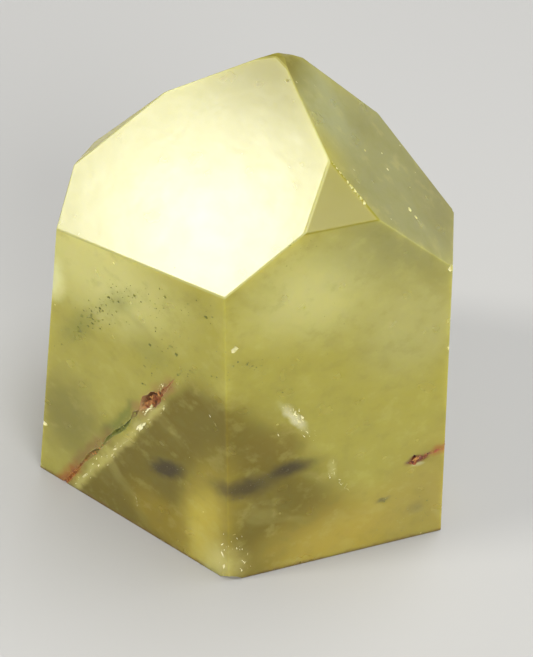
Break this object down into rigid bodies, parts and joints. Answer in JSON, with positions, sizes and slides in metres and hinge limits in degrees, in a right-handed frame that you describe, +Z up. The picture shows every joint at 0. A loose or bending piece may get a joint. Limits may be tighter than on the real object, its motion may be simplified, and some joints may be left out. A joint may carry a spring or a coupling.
{
  "type": "chlorite quartz crystal",
  "caption": "Self-standing polished quartz crystal: a hexagonal prism with a natural faceted point, cloudy yellow-green, on a sawn flat base.",
  "frame": {"origin": "on the surface it stands on, under the middle of the crystal's box", "axes": "+Z up along the crystal's long axis to the tip; the front vertical edge, between the two large front sides, faces -Y; +X to the right of it"},
  "size_m": [0.0386, 0.0302, 0.0459],
  "materials": {
    "quartz": "polished natural quartz, translucent and milky yellow-green, with darker olive clouds of chlorite and a little rust-brown iron stain inside"
  },
  "bodies": {
    "root": {"quartz_crystal": "quartz"}
  },
  "joints": []
}
